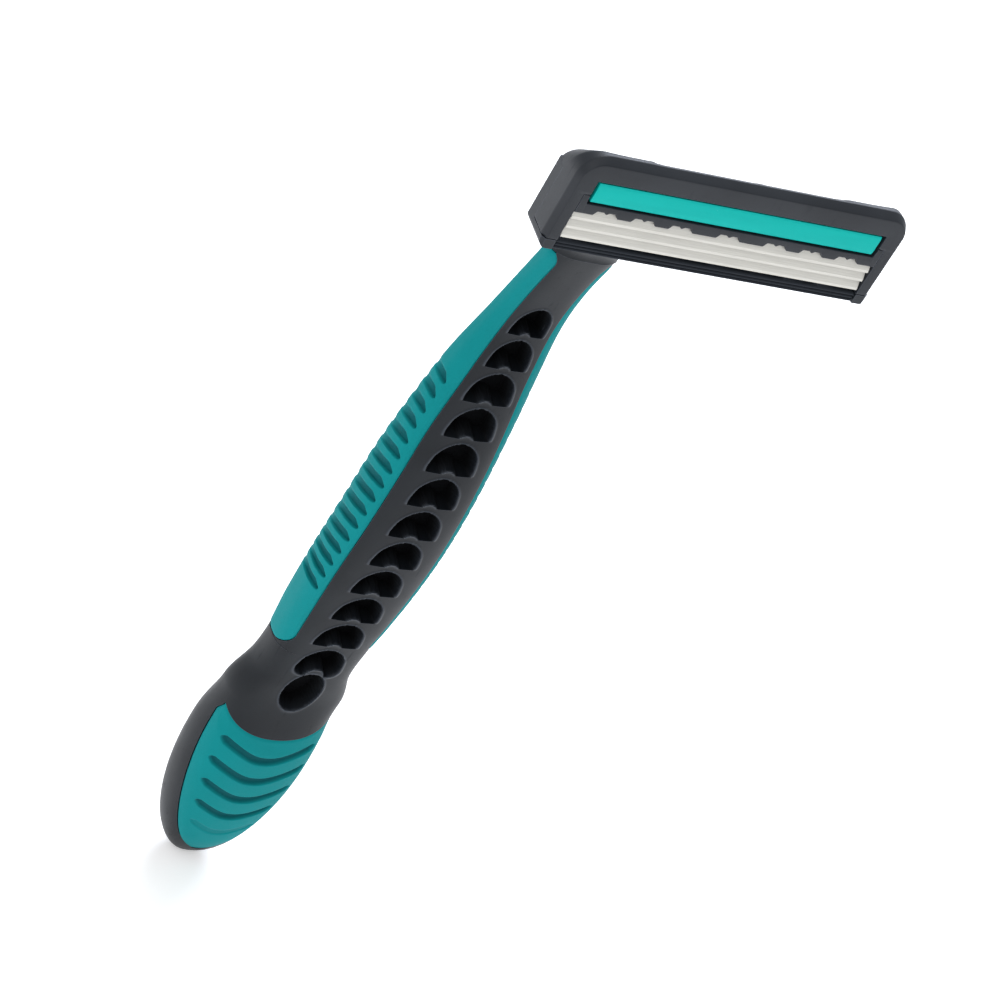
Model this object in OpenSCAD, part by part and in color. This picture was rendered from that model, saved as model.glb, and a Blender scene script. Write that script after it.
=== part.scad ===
// Wet razor with a pivoting three-blade head, a sprung plunger behind it and a soft-gripped handle.
// +Z runs up the handle, the shaving face looks along -Y, and the origin is on the floor under the bulb.

/* [Head] */
// Length of the shaving head, end to end
head_len = 42.4; // [41:0.2:44]
// Height of the shaving face, from the guard's lower edge to the cap's upper edge
face_h = 12.5; // [12.3:0.1:12.9]
// Height of the middle of the shaving face above the floor
head_z = 142; // [141:0.5:143]
// Place of the shaving face along Y
face_y = -19; // [-19.5:0.1:-18.5]
// Depth of the head from the shaving face to its back
head_depth = 4.9; // [4.8:0.1:5]

/* [Blades] */
// Number of scallops along the clamp bar's lip
scallops = 7; // [5:2:7]
// Slant of the blades from the shaving face, in degrees
blade_slant = 22; // [20:1:24]
// Distance from one cutting edge to the next along the face
blade_pitch = 1.3; // [1.2:0.05:1.35]
// Thickness of one blade
blade_t = 0.12; // [0.1:0.01:0.15]
// Length of each blade
blade_len = 38.5; // [37.5:0.1:38.6]
// Width of each blade, from its cutting edge to its back edge
blade_w = 4.8; // [4.6:0.1:4.8]

/* [Strip] */
// Length of the lubricating strip
strip_len = 36.4; // [35:0.1:36.6]
// Width of the lubricating strip
strip_w = 2.6; // [2.4:0.1:2.7]

/* [Pivot] */
// Distance of the pivot behind the shaving face
pivot_back = 6.8; // [6.8:0.1:7]
// Distance of the pivot below the middle of the face
pivot_drop = 0.4; // [0.3:0.1:0.5]
// Radius of the yoke's two journals
journal_r = 1.2; // [1.1:0.05:1.25]
// Radial clearance of the journals and of the plunger
fit_gap = 0.05; // [0.03:0.01:0.08]
// Distance of the plunger's axis behind the pivot
plunger_arm = 2.6; // [2.5:0.05:2.7]
// Height of the plunger's tip below the pivot
plunger_drop = 1.5; // [1.4:0.05:1.6]
// Radius of the plunger
plunger_r = 1.25; // [1.15:0.05:1.3]
// Number of turns of the plunger's spring
spring_turns = 5; // [4:1:6]
// Wire diameter of the plunger's spring
spring_wire = 0.24; // [0.2:0.01:0.28]

/* [Handle] */
// Half width of the bulb at its widest
bulb_half_w = 8.9; // [8.6:0.1:9.3]
// Half depth of the bulb at its widest
bulb_half_d = 6.05; // [5.9:0.05:6.3]
// Height of the bulb's widest section
bulb_z = 22.1; // [21.6:0.1:22.6]
// Distance between neighbouring hollows on the handle's front
hollow_pitch = 5.65; // [5.5:0.05:5.7]
// Number of crescent hollows on the handle's front
hollows = 12; // [10:1:12]
// Distance between neighbouring ribs on the side grips
rib_pitch = 2.45; // [2.3:0.05:2.6]
// Thickness of the soft side grips
grip_t = 1.5; // [1.2:0.1:1.7]
// Thickness of the soft end pad
pad_t = 1.3; // [1:0.1:1.6]

/* [Hidden] */
$fn = 48;
half = head_len / 2;
tilt_y = sin(blade_slant);
tilt_z = cos(blade_slant);
// Cutting edges: how far they stand behind the face, and the height of the upper one
edge_y = 0.08;
edge_top_z = -1.85;
stack_gap = blade_pitch * tilt_y;
spacer_t = stack_gap - blade_t;
spacer_set_back = 0.85;
leg_x = 19.4;
cap_seam_z = -4.95;
slot_z = 0.45;
slot_h = 3.1;
slot_half = 18.6;
tray_y = 0.75;
stack_half = 19.1;
guard_top_z = -5;
guard_bottom_z = -face_h / 2;
guard_half = 19.4;
// The clamp bar's lower edge: its height in the scallops, their height, half width and places
lip_z = -0.3;
scallop_h = 0.56;
scallop_half_w = 1.1;
scallop_first = 6.1;
scallop_pitch = 4.75;
// Stakes that pass through the stack between scallops: their places and their height on the upper blade
stake_x = [for (side = [-1, 1]) for (k = [0, 2]) side * (scallop_x(k) + scallop_x(k + 1)) / 2];
stake_s = 1.65;
stake_r = 0.45;

pivot_y = face_y + pivot_back;
pivot_z = head_z - pivot_drop;
plunger_y = pivot_y + plunger_arm;
tip_z = pivot_z - plunger_drop;
tip_gap = 0.03;
tip_len = 2.4;
hub_top_z = tip_z - tip_len;
plunger_foot = 2.2;
plunger_bottom_z = hub_top_z - plunger_foot;
spring_len = 4;
bore_bottom_z = plunger_bottom_z - spring_len;
hub_r = 2.7;
neck_half_w = 5;
arm_in = 5;
arm_out = 8.4;
arm_r = 1.95;
ear_in = 8.7;
ear_out = 10.4;
ear_r = 2.1;
cam_half_w = 1.3;
max_tilt = 40;

bulb_y = 12.1;
bulb_half_h = 22.2;
collar_z = 119.6;
// Handle stations: height, front surface, back surface, half width
stations = [
    [34, 6.9, 14.8, 8.8], [40, 6.4, 14.7, 7.0], [46, 5.7, 13.9, 6.8], [52, 4.9, 13.4, 7.2],
    [60, 4.0, 12.8, 7.6], [70, 3.2, 12.2, 7.7], [80, 3.2, 11.8, 7.6], [90, 4.0, 10.7, 7.0],
    [98, 4.4, 9.8, 6.1], [106, 4.2, 8.3, 5.0], [113, 2.9, 6.8, 4.5], [122, 0.2, 4.4, 4.5]];
first_hollow_z = 107.4;
hollow_t = 1.5;
oval_z = first_hollow_z - 12.3 * hollow_pitch;
tongue_h = 4.6;
grip_bottom_z = 45.3;
grip_top_z = 119;
rib_first_z = 94.65;
rib_last_z = 57.9;
rib_depth = 0.45;
pad_edge = 76;
// Rows and columns of the handle's grid, and the gaps that keep soft pieces clear of their seats
grip_cols = 6;
front_cols = 14;
back_cols = 8;
pad_cols = front_cols + 2 * grip_cols + 2;
pad_rows = 30;
shoulder_rows = 15;
seam_a = 0.6;
seat_gap = 0.03;
grip_rows = concat([for (z = [grip_bottom_z:0.7:rib_last_z - 0.1]) z],
    [for (z = [rib_last_z:rib_pitch / 4:rib_first_z + 0.1]) z],
    [for (z = [rib_first_z + 0.7:0.85:grip_top_z - 0.5]) z], [grip_top_z]);

charcoal = [0.24, 0.25, 0.29];
teal = [0.0, 0.5, 0.52];

// ---- Shared functions ----

function clamp01(v) = min(1, max(0, v));
function smooth(v) = let (c = clamp01(v)) c * c * (3 - 2 * c);
// Place of scallop number k along the clamp bar, counted from the middle one
function scallop_x(k) = k == 0 ? 0 : sign(k) * (scallop_first + (abs(k) - 1) * scallop_pitch);
// Slope of column k at station i, from its neighbours
function slope(i, k) = let (a = max(0, i - 1), b = min(len(stations) - 1, i + 1))
    (stations[b][k] - stations[a][k]) / (stations[b][0] - stations[a][0]);
function segment(z, i = 0) = (i >= len(stations) - 2 || z < stations[i + 1][0]) ? i : segment(z, i + 1);
// Column k of the stations at height z, as a cubic curve through them
function along(z, k) = let (
        zc = min(stations[len(stations) - 1][0], max(stations[0][0], z)), i = segment(zc),
        h = stations[i + 1][0] - stations[i][0], t = (zc - stations[i][0]) / h)
    stations[i][k] * (1 + 2 * t) * pow(1 - t, 2) + stations[i + 1][k] * t * t * (3 - 2 * t)
    + h * (slope(i, k) * t * pow(1 - t, 2) - slope(i + 1, k) * t * t * (1 - t));
// Half size of the bulb's ellipsoid at height z, as a share of its widest
function bulb_share(z) = sqrt(max(0, 1 - pow((z - bulb_z) / bulb_half_h, 2)));
// Share of the handle's own section at height z; the rest is the bulb's
function handle_share(z) = smooth((z - 25) / 14);
function mix(a, b, t) = a + (b - a) * t;
function front_y(z) = mix(bulb_y - bulb_half_d * bulb_share(z), along(z, 1), handle_share(z));
function back_y(z) = mix(bulb_y + bulb_half_d * bulb_share(z), along(z, 2), handle_share(z));
function half_w(z) = mix(bulb_half_w * bulb_share(z), along(z, 3), handle_share(z));
function mid_y(z) = (front_y(z) + back_y(z)) / 2;
// Power of a sine that keeps its sign, for rounded-square sections
function sgn_pow(v, p) = sign(v) * pow(abs(v), p);
// Point of the handle's skin at height z and angle a from its front, grown outward by d
// The front is squarer than the back in the bulb, and the shaft is narrower at its front
function skin(z, a, d = 0) = let (
        facing = (1 + cos(a)) / 2,
        p = mix(mix(1, 0.68, smooth((z - 38) / 14)), mix(0.8, 0.68, smooth((z - 22) / 14)), smooth(facing)),
        narrow = 1 - 0.1 * smooth((z - 62) / 24) * facing,
        x = half_w(z) * sgn_pow(sin(a), p) * narrow,
        y = -(back_y(z) - front_y(z)) / 2 * sgn_pow(cos(a), p),
        r = max(0.001, norm([x, y])))
    [x * (1 + d / r), mid_y(z) + y * (1 + d / r), z];

// Closed surface through a grid of rings, with flat ends
module loft(rings) {
    n = len(rings[0]);
    m = len(rings);
    sides = [for (i = [0:m - 2]) for (j = [0:n - 1]) let (a = i * n + j, b = i * n + (j + 1) % n)
        each [[a, a + n, b + n], [a, b + n, b]]];
    ends = [[for (j = [0:n - 1]) j], [for (j = [n - 1:-1:0]) (m - 1) * n + j]];
    polyhedron([for (r = rings) each r], concat(sides, ends));
}

// Closed skin between an outer and an inner grid of points, with strips along all four edges
module shell(outer, inner) {
    m = len(outer);
    n = len(outer[0]);
    q = m * n;
    cells = [for (i = [0:m - 2]) for (j = [0:n - 2]) let (a = i * n + j)
        each [[a, a + n, a + n + 1], [a, a + n + 1, a + 1],
            [q + a, q + a + n + 1, q + a + n], [q + a, q + a + 1, q + a + n + 1]]];
    rows = [for (j = [0:n - 2]) let (a = j, b = (m - 1) * n + j)
        each [[a, a + 1, q + a + 1], [a, q + a + 1, q + a],
            [b, q + b + 1, b + 1], [b, q + b, q + b + 1]]];
    cols = [for (i = [0:m - 2]) let (a = i * n, b = i * n + n - 1)
        each [[a, q + a + n, a + n], [a, q + a, q + a + n],
            [b, b + n, q + b + n], [b, q + b + n, q + b]]];
    polyhedron(concat([for (r = outer) each r], [for (r = inner) each r]), concat(cells, rows, cols));
}

// A profile of (depth, height) points drawn out along X
module bar(points, half_len) {
    rotate([90, 0, 90])
        linear_extrude(2 * half_len, center = true)
            polygon(points);
}

// Both mirrored copies of something drawn on the +X side
module both_ends() {
    children();
    mirror([1, 0, 0]) children();
}

// Puts parts drawn about the middle of the shaving face into place
module at_head() {
    translate([0, face_y, head_z]) children();
}

// Block from x0 to x1, y0 to y1 and z0 to z1
module block(x, y, z) {
    translate([x[0], y[0], z[0]])
        cube([x[1] - x[0], y[1] - y[0], z[1] - z[0]]);
}

// ---- Head ----

// Outline of the head seen from the front, with round corners
module face_outline(reach) {
    top_r = 4.5;
    low_r = 0.8;
    top = face_h / 2 + 0.25;
    low = -face_h / 2;
    rotate([90, 0, 0])
        translate([0, 0, -reach])
            linear_extrude(reach + 1) {
                translate([-half, low + low_r]) square([head_len, top - top_r - low - low_r]);
                translate([-half + top_r, low]) square([head_len - 2 * top_r, top - low]);
                translate([-half + low_r, low]) square([head_len - 2 * low_r, low_r + 1]);
                for (side = [-1, 1]) {
                    translate([side * (half - top_r), top - top_r]) circle(top_r);
                    translate([side * (half - low_r), low + low_r]) circle(low_r);
                }
            }
}

// Outline of the head seen from above, with sloping front corners
module plan_outline() {
    bevel = 0.4;
    tall = 2 * face_h;
    translate([0, 0, -face_h])
        linear_extrude(tall)
            polygon([[-half + bevel, 0], [half - bevel, 0], [half, bevel], [half, head_depth],
                [half - 0.7, head_depth + 0.6], [-half + 0.7, head_depth + 0.6],
                [-half, head_depth], [-half, bevel]]);
}

module cap_shape() {
    top = face_h / 2;
    roof = [[0, slot_z + slot_h], [0, top], [1, top + 0.25], [1.6, top - 0.15],
        [head_depth, 3.5], [head_depth, 2.7], [2.35, 2.7], [2.35, 3.45], [tray_y, 3.45],
        [tray_y, slot_z + slot_h]];
    leg = [[0, cap_seam_z], [0, top], [1, top + 0.25], [1.6, top - 0.15],
        [head_depth, 3.5], [head_depth, 2.7], [3.3, 2.7], [3.3, cap_seam_z]];
    rim = [[1.6, top - 0.3], [1.6, top - 0.05], [head_depth, 3.72], [head_depth, 3.4]];
    rim_x = 12.2;
    bar(roof, leg_x);
    both_ends() {
        intersection() {
            bar(leg, half);
            block([leg_x, half], [-1, 9], [-9, 9]);
        }
        block([slot_half, leg_x], [0, tray_y], [1.75, slot_z + slot_h]);
        intersection() {
            bar(rim, half);
            block([rim_x, half], [-1, 9], [-9, 9]);
        }
    }
}

module cap() {
    color(charcoal)
        at_head()
            intersection() {
                cap_shape();
                face_outline(8);
                plan_outline();
            }
}

// Lower edge of the clamp bar, end to end: flat teeth with scallops between them, and a nick in each scallop
function scallop_edge() = [for (k = [-(scallops - 1) / 2:(scallops - 1) / 2])
    let (c = scallop_x(k), w = scallop_half_w, low = lip_z - scallop_h)
    each [[c - w - 0.5, low], [c - w, lip_z], [c - 0.35, lip_z], [c, lip_z - 0.22],
        [c + 0.35, lip_z], [c + w, lip_z], [c + w + 0.5, low]]];

module clamp_bar() {
    low = lip_z - scallop_h - 0.1;
    back = 3.38;
    lean = tilt_y / tilt_z;
    gap = 0.02;
    color(charcoal)
        at_head() {
            intersection() {
                bar([[0, slot_z], [0, low], [edge_y + (low - edge_top_z) * lean - gap, low],
                    [edge_y + (back - edge_top_z) * lean - gap, back], [tray_y, back],
                    [tray_y, slot_z]], stack_half);
                rotate([90, 0, 0])
                    translate([0, 0, -4])
                        linear_extrude(5)
                            polygon(concat([[-stack_half - 1, 4], [-stack_half - 1, lip_z - scallop_h]],
                                scallop_edge(), [[stack_half + 1, lip_z - scallop_h], [stack_half + 1, 4]]));
            }
            both_ends()
                block([slot_half + 0.05, stack_half], [0, tray_y], [slot_z - 0.1, 1.65]);
        }
}

module lubricating_strip() {
    proud = 0.1;
    bottom = slot_z + (slot_h - strip_w) / 2;
    crown = 0.12;
    color([0.0, 0.76, 0.72])
        at_head()
            bar([[tray_y, bottom], [tray_y, bottom + strip_w], [proud + crown, bottom + strip_w],
                [proud, bottom + strip_w - crown], [proud, bottom + crown], [proud + crown, bottom]],
                strip_len / 2);
}

// Leans a sheet drawn upright at the cutting edge of blade number i back to the blades' slant
module on_slant(i, depth = 0) {
    translate([0, edge_y, edge_top_z - i * blade_pitch])
        rotate([-blade_slant, 0, 0])
            translate([0, depth, 0])
                children();
}

// Holes through sheet number i for the seat's stakes
module stake_holes(i) {
    for (x = stake_x)
        translate([x, 2, stake_s + i * blade_pitch * tilt_z])
            rotate([90, 0, 0])
                cylinder(h = 4, r = stake_r + 0.1);
}

module blade(i) {
    bevel = 0.3;
    color([0.86, 0.85, 0.82])
        at_head()
            on_slant(i)
                difference() {
                    bar([[0, bevel], [blade_t / 2, 0], [blade_t, bevel], [blade_t, blade_w],
                        [0, blade_w]], blade_len / 2);
                    stake_holes(i);
                }
}

module blade_upper() { blade(0); }
module blade_middle() { blade(1); }
module blade_lower() { blade(2); }

module spacer(i) {
    last = (scallops - 1) / 2;
    color([0.62, 0.63, 0.66])
        at_head()
            on_slant(i, blade_t)
                difference() {
                    block([-stack_half, stack_half], [0, spacer_t], [spacer_set_back, blade_w]);
                    for (k = [-last:last])
                        translate([scallop_x(k), 0, 0])
                            block([-1.5, 1.5], [-1, 1], [0, 2.9]);
                    stake_holes(i);
                }
}

module spacer_upper() { spacer(0); }
module spacer_lower() { spacer(1); }

// Base line of the stack: the lower blade's underside, d up the slant from its cutting edge
function bed(d) = [
    edge_y + d * tilt_y + blade_t * tilt_z,
    edge_top_z - 2 * blade_pitch + d * tilt_z - blade_t * tilt_y];

// Cam underside that keeps a flat plunger moving in step with the head: an involute about the pivot
function cam_point(a) = let (h = -plunger_drop - plunger_arm * a * PI / 180) [
    plunger_arm * cos(a) - h * sin(a), plunger_arm * sin(a) + h * cos(a)];

module seat_frame() {
    wall_in = 2.4;
    shelf = [bed(1.2), bed(blade_w), [wall_in, 0], [head_depth, 0], [head_depth, -1.8], [2.2, -3.3]];
    wall = [[wall_in, -0.2], [wall_in, 2.6], [head_depth, 2.6], [head_depth, -0.2]];
    beam = [[1.05, guard_bottom_z], [1.05, guard_top_z], [head_depth, guard_top_z + 0.3],
        [head_depth, guard_bottom_z + 0.7], [4.2, guard_bottom_z]];
    rib_x = [0, 5.2, 9.7, 14.2];
    bar(shelf, stack_half);
    difference() {
        bar(wall, stack_half);
        both_ends()
            for (x = rib_x)
                block([x + 1, x + 4], [0, 9], [0.5, 2]);
    }
    bar(beam, guard_half);
    both_ends() {
        for (x = rib_x)
            block([x - 0.6, x + 0.6], [1.6, head_depth], [guard_top_z - 0.2, -1.5]);
        block([leg_x + 0.05, half], [3.35, head_depth], [guard_top_z, 2.6]);
        block([leg_x - 0.6, leg_x + 0.2], [3.4, head_depth], [guard_top_z, 2.6]);
        block([guard_half + 0.1, half], [0, head_depth], [guard_bottom_z, cap_seam_z - 0.05]);
        translate([9.7, 1.3, guard_top_z - 0.1]) cylinder(h = 1.2, r = 0.45);
    }
}

// Rounded stakes that pass through the blades and spacers
module stakes() {
    on_slant(0)
        for (x = stake_x)
            translate([x, 2 * stack_gap + blade_t + 0.2, stake_s])
                rotate([90, 0, 0])
                    cylinder(h = 2 * stack_gap + blade_t + 0.2, r = stake_r);
}

module seat_bearings() {
    both_ends()
        difference() {
            union() {
                translate([ear_in, pivot_back, -pivot_drop])
                    rotate([0, 90, 0])
                        cylinder(h = ear_out - ear_in, r = ear_r);
                block([ear_in, ear_out], [head_depth - 0.5, pivot_back],
                    [-pivot_drop - ear_r, -pivot_drop + ear_r]);
            }
            translate([ear_in - 1, pivot_back, -pivot_drop])
                rotate([0, 90, 0])
                    cylinder(h = 5, r = journal_r + fit_gap);
        }
}

module seat_cam() {
    cam = [for (a = [-6:2:max_tilt + 6]) cam_point(a)];
    front = head_depth - pivot_back - 0.3;
    translate([0, pivot_back, -pivot_drop])
        bar(concat([[front, -2.1], [0.6, -2.1], [1.2, -1.35]], cam,
            [[4.2, -0.5], [3.2, -0.2], [front, 1]]), cam_half_w);
    // Lug that rests on the yoke's hub and stops the head in its rest position
    block([-1.8, 1.8], [head_depth - 0.3, pivot_back + plunger_arm - hub_r - 0.06],
        [guard_top_z - 0.4, guard_top_z + 0.3]);
}

module blade_seat() {
    color(charcoal)
        at_head() {
            intersection() {
                seat_frame();
                face_outline(8);
                plan_outline();
            }
            stakes();
            seat_bearings();
            seat_cam();
        }
}

module guard_strip() {
    ribs = 3;
    rib_h = (guard_top_z - guard_bottom_z) / ribs;
    profile = [for (i = [0:ribs - 1]) let (z = guard_bottom_z + i * rib_h)
        each [[0.45, z + 0.02], [0.05, z + 0.12], [0.05, z + rib_h - 0.12], [0.45, z + rib_h - 0.02]]];
    color(charcoal * 0.85)
        at_head()
            bar(concat(profile, [[1.05, guard_top_z], [1.05, guard_bottom_z]]), guard_half);
}

// ---- Yoke, plunger and spring ----

// Section of the gooseneck at share t from the collar up to the hub
function neck_ring(t) = let (
        e = smooth(t), z = mix(collar_z, bore_bottom_z + 1.5, t),
        y0 = mix(front_y(collar_z), plunger_y - hub_r, e), y1 = mix(back_y(collar_z), plunger_y + hub_r, e),
        w = mix(half_w(collar_z), neck_half_w, smooth(t * 1.4)), n = 28)
    [for (j = [0:n - 1]) let (a = 360 * j / n)
        [w * sgn_pow(sin(a), 0.8), (y0 + y1) / 2 - (y1 - y0) / 2 * sgn_pow(cos(a), 0.8), z]];

module yoke_arm() {
    hull() {
        translate([arm_in, pivot_y + 0.5, pivot_z + 0.2])
            rotate([0, 90, 0])
                cylinder(h = arm_out - arm_in, r = arm_r, $fn = 32);
        translate([1.4, plunger_y, bore_bottom_z + 2])
            rotate([0, 90, 0])
                cylinder(h = 3, r = 1.8, $fn = 32);
    }
    translate([arm_out - 0.1, pivot_y, pivot_z])
        rotate([0, 90, 0])
            cylinder(h = ear_out + 0.2 - arm_out, r = journal_r);
}

module yoke() {
    color(charcoal)
        difference() {
            union() {
                loft([for (i = [0:12]) neck_ring(i / 12)]);
                translate([0, plunger_y, bore_bottom_z + 0.5])
                    cylinder(h = hub_top_z - bore_bottom_z - 0.5, r = hub_r);
                both_ends() yoke_arm();
            }
            translate([0, plunger_y, bore_bottom_z])
                cylinder(h = 12, r = plunger_r + fit_gap);
            loft([tongue_ring(-0.1, fit_gap), tongue_ring(1, fit_gap)]);
        }
}

module plunger() {
    stem_r = plunger_r - 0.25;
    color([0.82, 0.83, 0.85])
        translate([0, plunger_y, 0]) {
            translate([0, 0, plunger_bottom_z])
                cylinder(h = plunger_foot, r = plunger_r);
            translate([0, 0, plunger_bottom_z])
                cylinder(h = tip_z - tip_gap - plunger_bottom_z, r = stem_r);
        }
}

// Coil of round wire, swept ring by ring, with closed end turns
module plunger_spring() {
    per_turn = 18;
    wire_sides = 6;
    wire_r = spring_wire / 2;
    coil_r = plunger_r - wire_r - 0.05;
    steps = spring_turns * per_turn;
    rise = spring_len - spring_wire - 0.06;
    ring = function(i) let (a = 360 * i / per_turn, t = i / steps,
            z = bore_bottom_z + 0.03 + wire_r + rise * smooth(t * 1.06 - 0.03))
        [for (k = [0:wire_sides - 1]) let (b = 360 * k / wire_sides)
            [cos(a) * (coil_r + wire_r * cos(b)),
             plunger_y + sin(a) * (coil_r + wire_r * cos(b)), z + wire_r * sin(b)]];
    color([0.7, 0.7, 0.72])
        loft([for (i = [0:steps]) ring(i)]);
}

// ---- Handle ----
// The core, grips and pad share one grid of rows and columns, so each soft piece lies in its own seat.

// Angle from the front at which the side grip begins and ends at height z: a round foot and a blunt top
function grip_share(z) = let (u = (z - grip_bottom_z) / 3.2, v = (grip_top_z - z) / 2)
    sqrt(1 - pow(1 - clamp01(u), 2)) * sqrt(1 - 0.6 * pow(1 - clamp01(v), 2));
function grip_from(z) = mix(104, 45.5 - 7 * smooth((z - 84) / 14) + 4 * smooth((z - 100) / 19),
    max(0.12, grip_share(z)));
function grip_to(z) = mix(110, 138, max(0.12, grip_share(z)));
function grip_angle(z, j) = mix(grip_from(z), grip_to(z), j / grip_cols);
function grip_depth(z) = min(grip_t, 0.34 * half_w(z));
// Rows lean with the ribs: away from the grip's front edge they fall toward the handle's back
function grip_drop(z, j) = 0.24 * smooth((z - rib_last_z) / 10) * smooth((rib_first_z + 2 - z) / 14)
    * (skin(z, grip_angle(z, j))[1] - skin(z, grip_from(z))[1]);
function grip_point(z, j, d) = skin(z - grip_drop(z, j), grip_angle(z, j), d);
// Depth of the slanted grooves on the row that meets the grip's front edge at height z
function rib_cut(z) = let (
        zone = smooth((rib_first_z + 1 - z) * 2) * smooth((z - rib_last_z + 1) * 2),
        wave = abs(((z - rib_last_z + rib_pitch) / rib_pitch) % 1 - 0.5) * 2)
    rib_depth * zone * smooth((wave - 0.3) / 0.6);

// Side grip on the +X side
module grip_solid() {
    outer = function(z, j) grip_point(z, j, 0.25 * sin(180 * j / grip_cols) * grip_share(z)
        - (j > 0 ? rib_cut(z) : 0));
    shell([for (z = grip_rows) [for (j = [0:grip_cols]) outer(z, j)]],
        [for (z = grip_rows) [for (j = [0:grip_cols]) grip_point(z, j, -grip_depth(z))]]);
}

// Upper and lower edges of the end pad at share s of the way to its side: a dip between two horns, and a
// round bottom
function pad_top(s) = 28.5 + 3.4 * pow(s, 1.5);
function pad_bottom(s) = 2.6 + 2.6 * s * s;
function pad_height(i, s) = mix(pad_bottom(s), pad_top(s), i / pad_rows);
// Angle of the pad's side edge at share t of its height
function pad_side(t) = mix(24, pad_edge, pow(t, 0.4)) - 9 * smooth((t - 0.92) / 0.08);
function pad_share(j) = 2 * j / pad_cols - 1;
// Depth of the smile-shaped grooves across the pad
function smile(z, a) = let (q = (sqrt(a * a + 64) - 8) / 52, level = z - 2.6 * (2 * q - q * q),
        zone = smooth((z - 6.5) / 2) * smooth((26.6 - level) / 1) * smooth((20 + 0.95 * z - abs(a)) / 8))
    0.45 * zone * pow(max(0, cos(360 * (level - 24.7) / 4)), 3);

module pad_solid() {
    outer = function(i, j) let (s = pad_share(j), a = s * pad_side(i / pad_rows), z = pad_height(i, abs(s)),
            crown = 0.3 * sqrt(max(0, sin(180 * i / pad_rows) * cos(90 * s))))
        skin(z, a, crown - smile(z, a));
    inner = function(i, j) let (s = pad_share(j))
        skin(pad_height(i, abs(s)), s * pad_side(i / pad_rows), -pad_t);
    shell([for (i = [0:pad_rows]) [for (j = [0:pad_cols]) outer(i, j)]],
        [for (i = [0:pad_rows]) [for (j = [0:pad_cols]) inner(i, j)]]);
}

// Depth of the hollows in the handle's front at place x and height z: arched crescents over one oval
function hollow_depth(x, z) = let (
        i = min(hollows - 1, max(0, round((first_hollow_z - z) / hollow_pitch))),
        zc = first_hollow_z - i * hollow_pitch, w = 0.38 * half_w(zc), dz = z - zc,
        arch = min(1 - norm([x / w, dz / 2.35]), norm([x / (0.62 * w), (dz + 2.3) / 1.9]) - 1),
        oval = 1 - norm([x / 2.5, (z - oval_z) / 3.4]))
    hollow_t * max(smooth(arch / 0.3), smooth(oval / 0.35));
function dented(p) = [p[0], p[1] + hollow_depth(p[0], p[2]), p[2]];

// One row of the core round the handle at height z; the grips' seats are sunk where sunk is true
function handle_row(z, sunk) = let (
        front_edge = grip_from(z) - seam_a, back_edge = grip_to(z) + seam_a,
        d = sunk ? -grip_depth(z) - seat_gap : 0,
        low = z - grip_drop(z, grip_cols))
    concat(
        [for (k = [0:front_cols]) let (s = 2 * k / front_cols - 1)
            dented(skin(z, front_edge * sgn_pow(s, 1.45)))],
        [for (j = [0:grip_cols]) grip_point(z, j, d)],
        [for (k = [0:back_cols]) skin(low, mix(back_edge, 360 - back_edge, k / back_cols))],
        [for (j = [grip_cols:-1:0]) let (p = grip_point(z, j, d)) [-p[0], p[1], p[2]]]);

// One row of the core round the bulb, between the pad's side edges at share t of the pad's height; height
// gives its z at each share of the way to the side
function bulb_row(t, height, sunk) = let (
        d = sunk ? -pad_t - seat_gap : 0,
        edge = pad_side(t),
        pad = [for (j = [0:pad_cols]) let (s = pad_share(j), p = skin(height(abs(s)), s * edge, d))
            sunk ? p : dented(p)],
        back = [for (k = [0:back_cols])
            skin(height(1), mix(edge + seam_a, 360 - edge - seam_a, k / back_cols))])
    concat([for (j = [grip_cols + 1:pad_cols]) pad[j]], back, [for (j = [0:grip_cols]) pad[j]]);

// Ring of the tongue that fits the yoke's socket, at share t of its height, grown by g
function tongue_ring(t, g = 0) = let (
        n = front_cols + 2 * grip_cols + back_cols + 4, z = collar_z + t * (tongue_h + g))
    [for (k = [0:n - 1]) let (a = 360 * (k - front_cols / 2) / n)
        [(2.3 + g - 0.3 * t) * sgn_pow(sin(a), 0.8),
         mid_y(collar_z) - 2.6 * t - (1.35 + g - 0.2 * t) * sgn_pow(cos(a), 0.8), z]];

module handle_core() {
    seam = 0.05;
    toe = [for (f = [0, 0.1, 0.3, 0.55, 0.8]) bulb_row(0, function(s) f * pad_bottom(s), false)];
    pad_seat = concat([bulb_row(0, function(s) pad_bottom(s) - seam, false)],
        [for (i = [0:pad_rows]) bulb_row(i / pad_rows, function(s) pad_height(i, s), true)],
        [bulb_row(1, function(s) pad_top(s) + seam, false)]);
    shoulder = [for (i = [1:shoulder_rows]) bulb_row(
        1, function(s) mix(pad_top(s) + seam, grip_bottom_z - 0.5, i / shoulder_rows), false)];
    shaft = concat([handle_row(grip_bottom_z - seam, false)],
        [for (z = grip_rows) handle_row(z, true)],
        [for (z = [grip_top_z + seam, mix(grip_top_z, collar_z, 0.5), collar_z]) handle_row(z, false)]);
    color(charcoal)
        loft(concat(toe, pad_seat, shoulder, shaft, [tongue_ring(0), tongue_ring(1)]));
}

module side_grip_left() { color(teal) mirror([1, 0, 0]) grip_solid(); }
module side_grip_right() { color(teal) grip_solid(); }
module end_pad() { color(teal) pad_solid(); }

cap();
clamp_bar();
lubricating_strip();
blade_upper();
blade_middle();
blade_lower();
spacer_upper();
spacer_lower();
blade_seat();
guard_strip();
yoke();
plunger();
plunger_spring();
handle_core();
side_grip_left();
side_grip_right();
end_pad();
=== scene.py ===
"""Looks of a wet razor round its fixed frame: plastic, ribbed rubber, blades and a gel strip.

Sizes are in millimetres in the row frame, and Surface turns them into metres. Heights run along Z, the
shaving face looks along -Y and the head's long axis is X.
"""

import logging
import math
from dataclasses import dataclass, field
from enum import Enum

import bmesh
import bpy
import numpy as np
from mathutils import Matrix


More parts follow.
